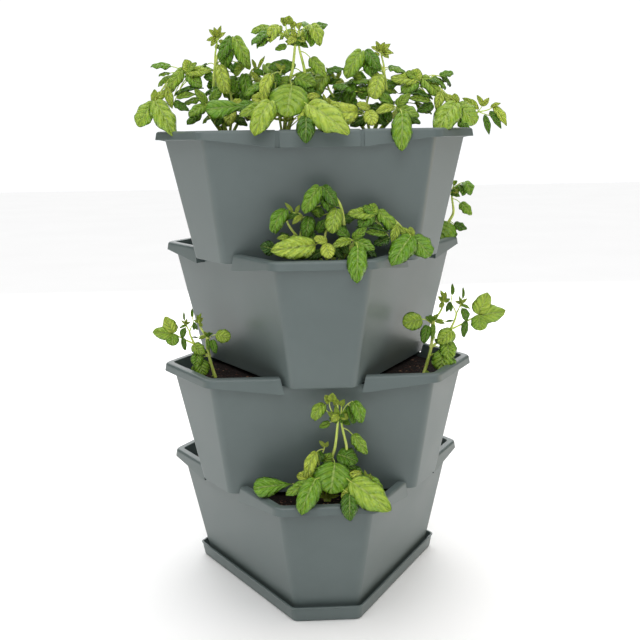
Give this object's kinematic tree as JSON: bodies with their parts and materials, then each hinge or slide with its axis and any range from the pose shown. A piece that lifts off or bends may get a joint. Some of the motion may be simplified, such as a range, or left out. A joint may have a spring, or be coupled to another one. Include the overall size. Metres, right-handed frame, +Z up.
{
  "type": "vertical planter tower",
  "caption": "Free-standing tower of nested planting trays on a drip saucer, each tray turned to the one below so that its corners stay open as pockets of soil and leafy plants.",
  "frame": {"origin": "centre of the saucer's underside, on the axis of the stack, at floor level", "axes": "+Z up along the stack, -Y towards the front, where a short corner side of the bottom tray faces"},
  "size_m": [0.5733, 0.5026, 0.8928],
  "materials": {
    "plastic": "satin moulded plastic",
    "soil": "loose potting compost with bark",
    "foliage": "living leaves and stems"
  },
  "bodies": {
    "saucer_body": {"saucer": "plastic"},
    "tray_1_body": {"tray_1": "plastic", "soil_1": "soil", "upright_plant_1_front": "foliage"},
    "tray_2_body": {"tray_2": "plastic", "soil_2": "soil", "sprig_plant_2_left": "foliage", "sprig_plant_2_right": "foliage"},
    "tray_3_body": {"tray_3": "plastic", "soil_3": "soil", "bushy_plant_3_front": "foliage", "upright_plant_3_back": "foliage"},
    "tray_4_body": {"tray_4": "plastic", "soil_4": "soil", "bushy_plant_4_left": "foliage", "upright_plant_4_centre": "foliage", "bushy_plant_4_right": "foliage", "sprig_plant_4_right": "foliage"}
  },
  "joints": [
    {"name": "tray_1_lift", "type": "slide", "parent": "saucer_body", "child": "tray_1_body", "axis": [0, 0, 1], "range_m": [0, 0.18]},
    {"name": "tray_2_lift", "type": "slide", "parent": "tray_1_body", "child": "tray_2_body", "axis": [0, 0, 1], "range_m": [0, 0.18]},
    {"name": "tray_3_lift", "type": "slide", "parent": "tray_2_body", "child": "tray_3_body", "axis": [0, 0, 1], "range_m": [0, 0.18]},
    {"name": "tray_4_lift", "type": "slide", "parent": "tray_3_body", "child": "tray_4_body", "axis": [0, 0, 1], "range_m": [0, 0.18]}
  ]
}
